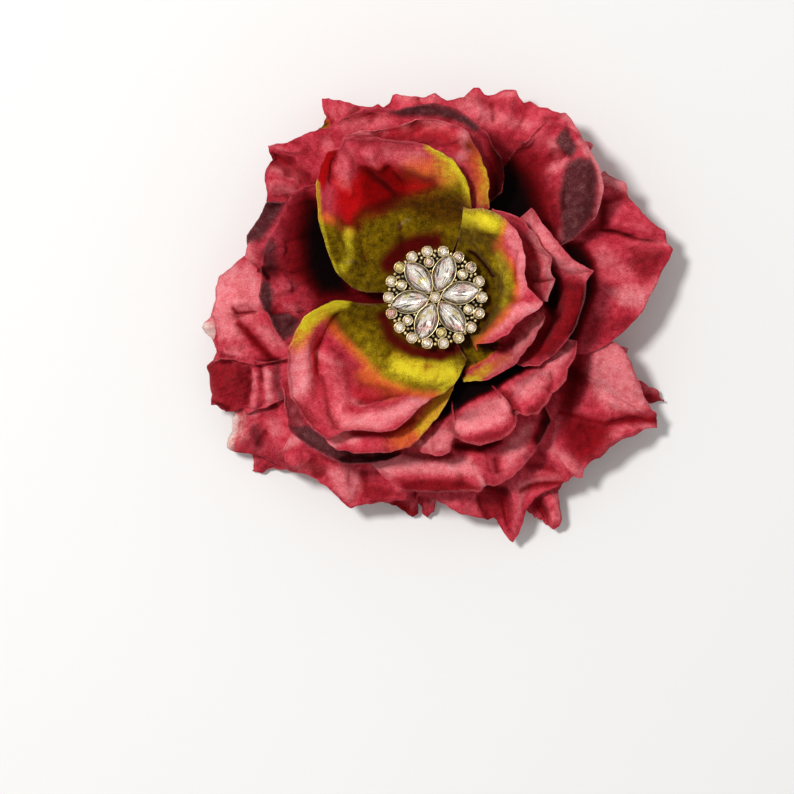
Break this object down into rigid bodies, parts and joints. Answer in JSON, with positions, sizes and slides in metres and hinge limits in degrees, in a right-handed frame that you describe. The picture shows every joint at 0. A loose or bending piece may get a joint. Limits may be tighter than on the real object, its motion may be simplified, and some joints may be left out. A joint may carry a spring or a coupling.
{
  "type": "flower hair clip",
  "caption": "Large cloth rose with a crystal-set button at its heart, glued through a felt disc to a sprung two-jaw hair clip whose lower jaw opens on a hinge pin.",
  "frame": {"origin": "on the axis of the button, in the plane of the underside of the clip's lower jaw, which lies against the head", "axes": "+Z out of the flower's face, -X along the clip from its hinge to its tip, +Y up in the picture"},
  "size_m": [0.1291, 0.1241, 0.0444],
  "materials": {
    "clip_steel": "bright nickel plated sheet steel",
    "spring_steel": "drawn wire",
    "glue": "set hot-melt glue",
    "felt": "pressed wool felt",
    "core_plastic": "moulded, matt",
    "antique_gold": "cast, darkened in the recesses",
    "crystal": "cut, foil backed",
    "petal_two_tone": "stiffened velvety cloth, olive at the base and red at the rim",
    "petal_red": "stiffened velvety cloth, crimson with dark shading"
  },
  "bodies": {
    "flower": {"clip_arm": "clip_steel", "hinge_pin": "spring_steel", "torsion_spring": "spring_steel", "glue_pad": "glue", "felt_disc": "felt", "flower_core": "core_plastic", "button_shank": "antique_gold", "button_setting": "antique_gold", "centre_stone": "crystal", "accent_stones": "crystal", "ring_stones": "crystal", "navette_stone_1": "crystal", "navette_stone_2": "crystal", "navette_stone_3": "crystal", "navette_stone_4": "crystal", "navette_stone_5": "crystal", "navette_stone_6": "crystal", "inner_petal_left": "petal_two_tone", "inner_petal_right": "petal_two_tone", "inner_petal_low": "petal_two_tone", "second_petal_right": "petal_two_tone", "second_petal_low_right": "petal_two_tone", "second_petal_top": "petal_two_tone", "second_petal_low": "petal_two_tone", "middle_petal_right": "petal_red", "middle_petal_low_right": "petal_red", "middle_petal_top": "petal_red", "middle_petal_left": "petal_red", "middle_petal_low_left": "petal_red", "middle_petal_top_right": "petal_red", "middle_petal_low": "petal_red", "outer_petal_right": "petal_red", "outer_petal_small_left": "petal_red", "outer_petal_top_left": "petal_red", "outer_petal_left": "petal_red", "outer_petal_low_left": "petal_red", "outer_petal_low_right": "petal_red", "outer_petal_bottom": "petal_red", "outer_petal_curled": "petal_red", "outer_petal_far_low_left": "petal_red", "outer_petal_top": "petal_red", "outer_petal_far_bottom": "petal_red", "back_petal_left": "petal_red", "back_petal_low_left": "petal_red", "back_petal_bottom": "petal_red", "back_petal_right": "petal_red", "back_petal_top_left": "petal_red"},
    "jaw": {"clip_jaw": "clip_steel"}
  },
  "joints": [
    {"name": "jaw_hinge", "type": "hinge", "parent": "flower", "child": "jaw", "pos_m": [0.024, 0, 0.0034], "axis": [0, -1, 0], "range_deg": [0, 22], "stiffness_Nm_per_rad": 0.25, "springref_deg": -28.65, "deforming": ["torsion_spring"]}
  ]
}
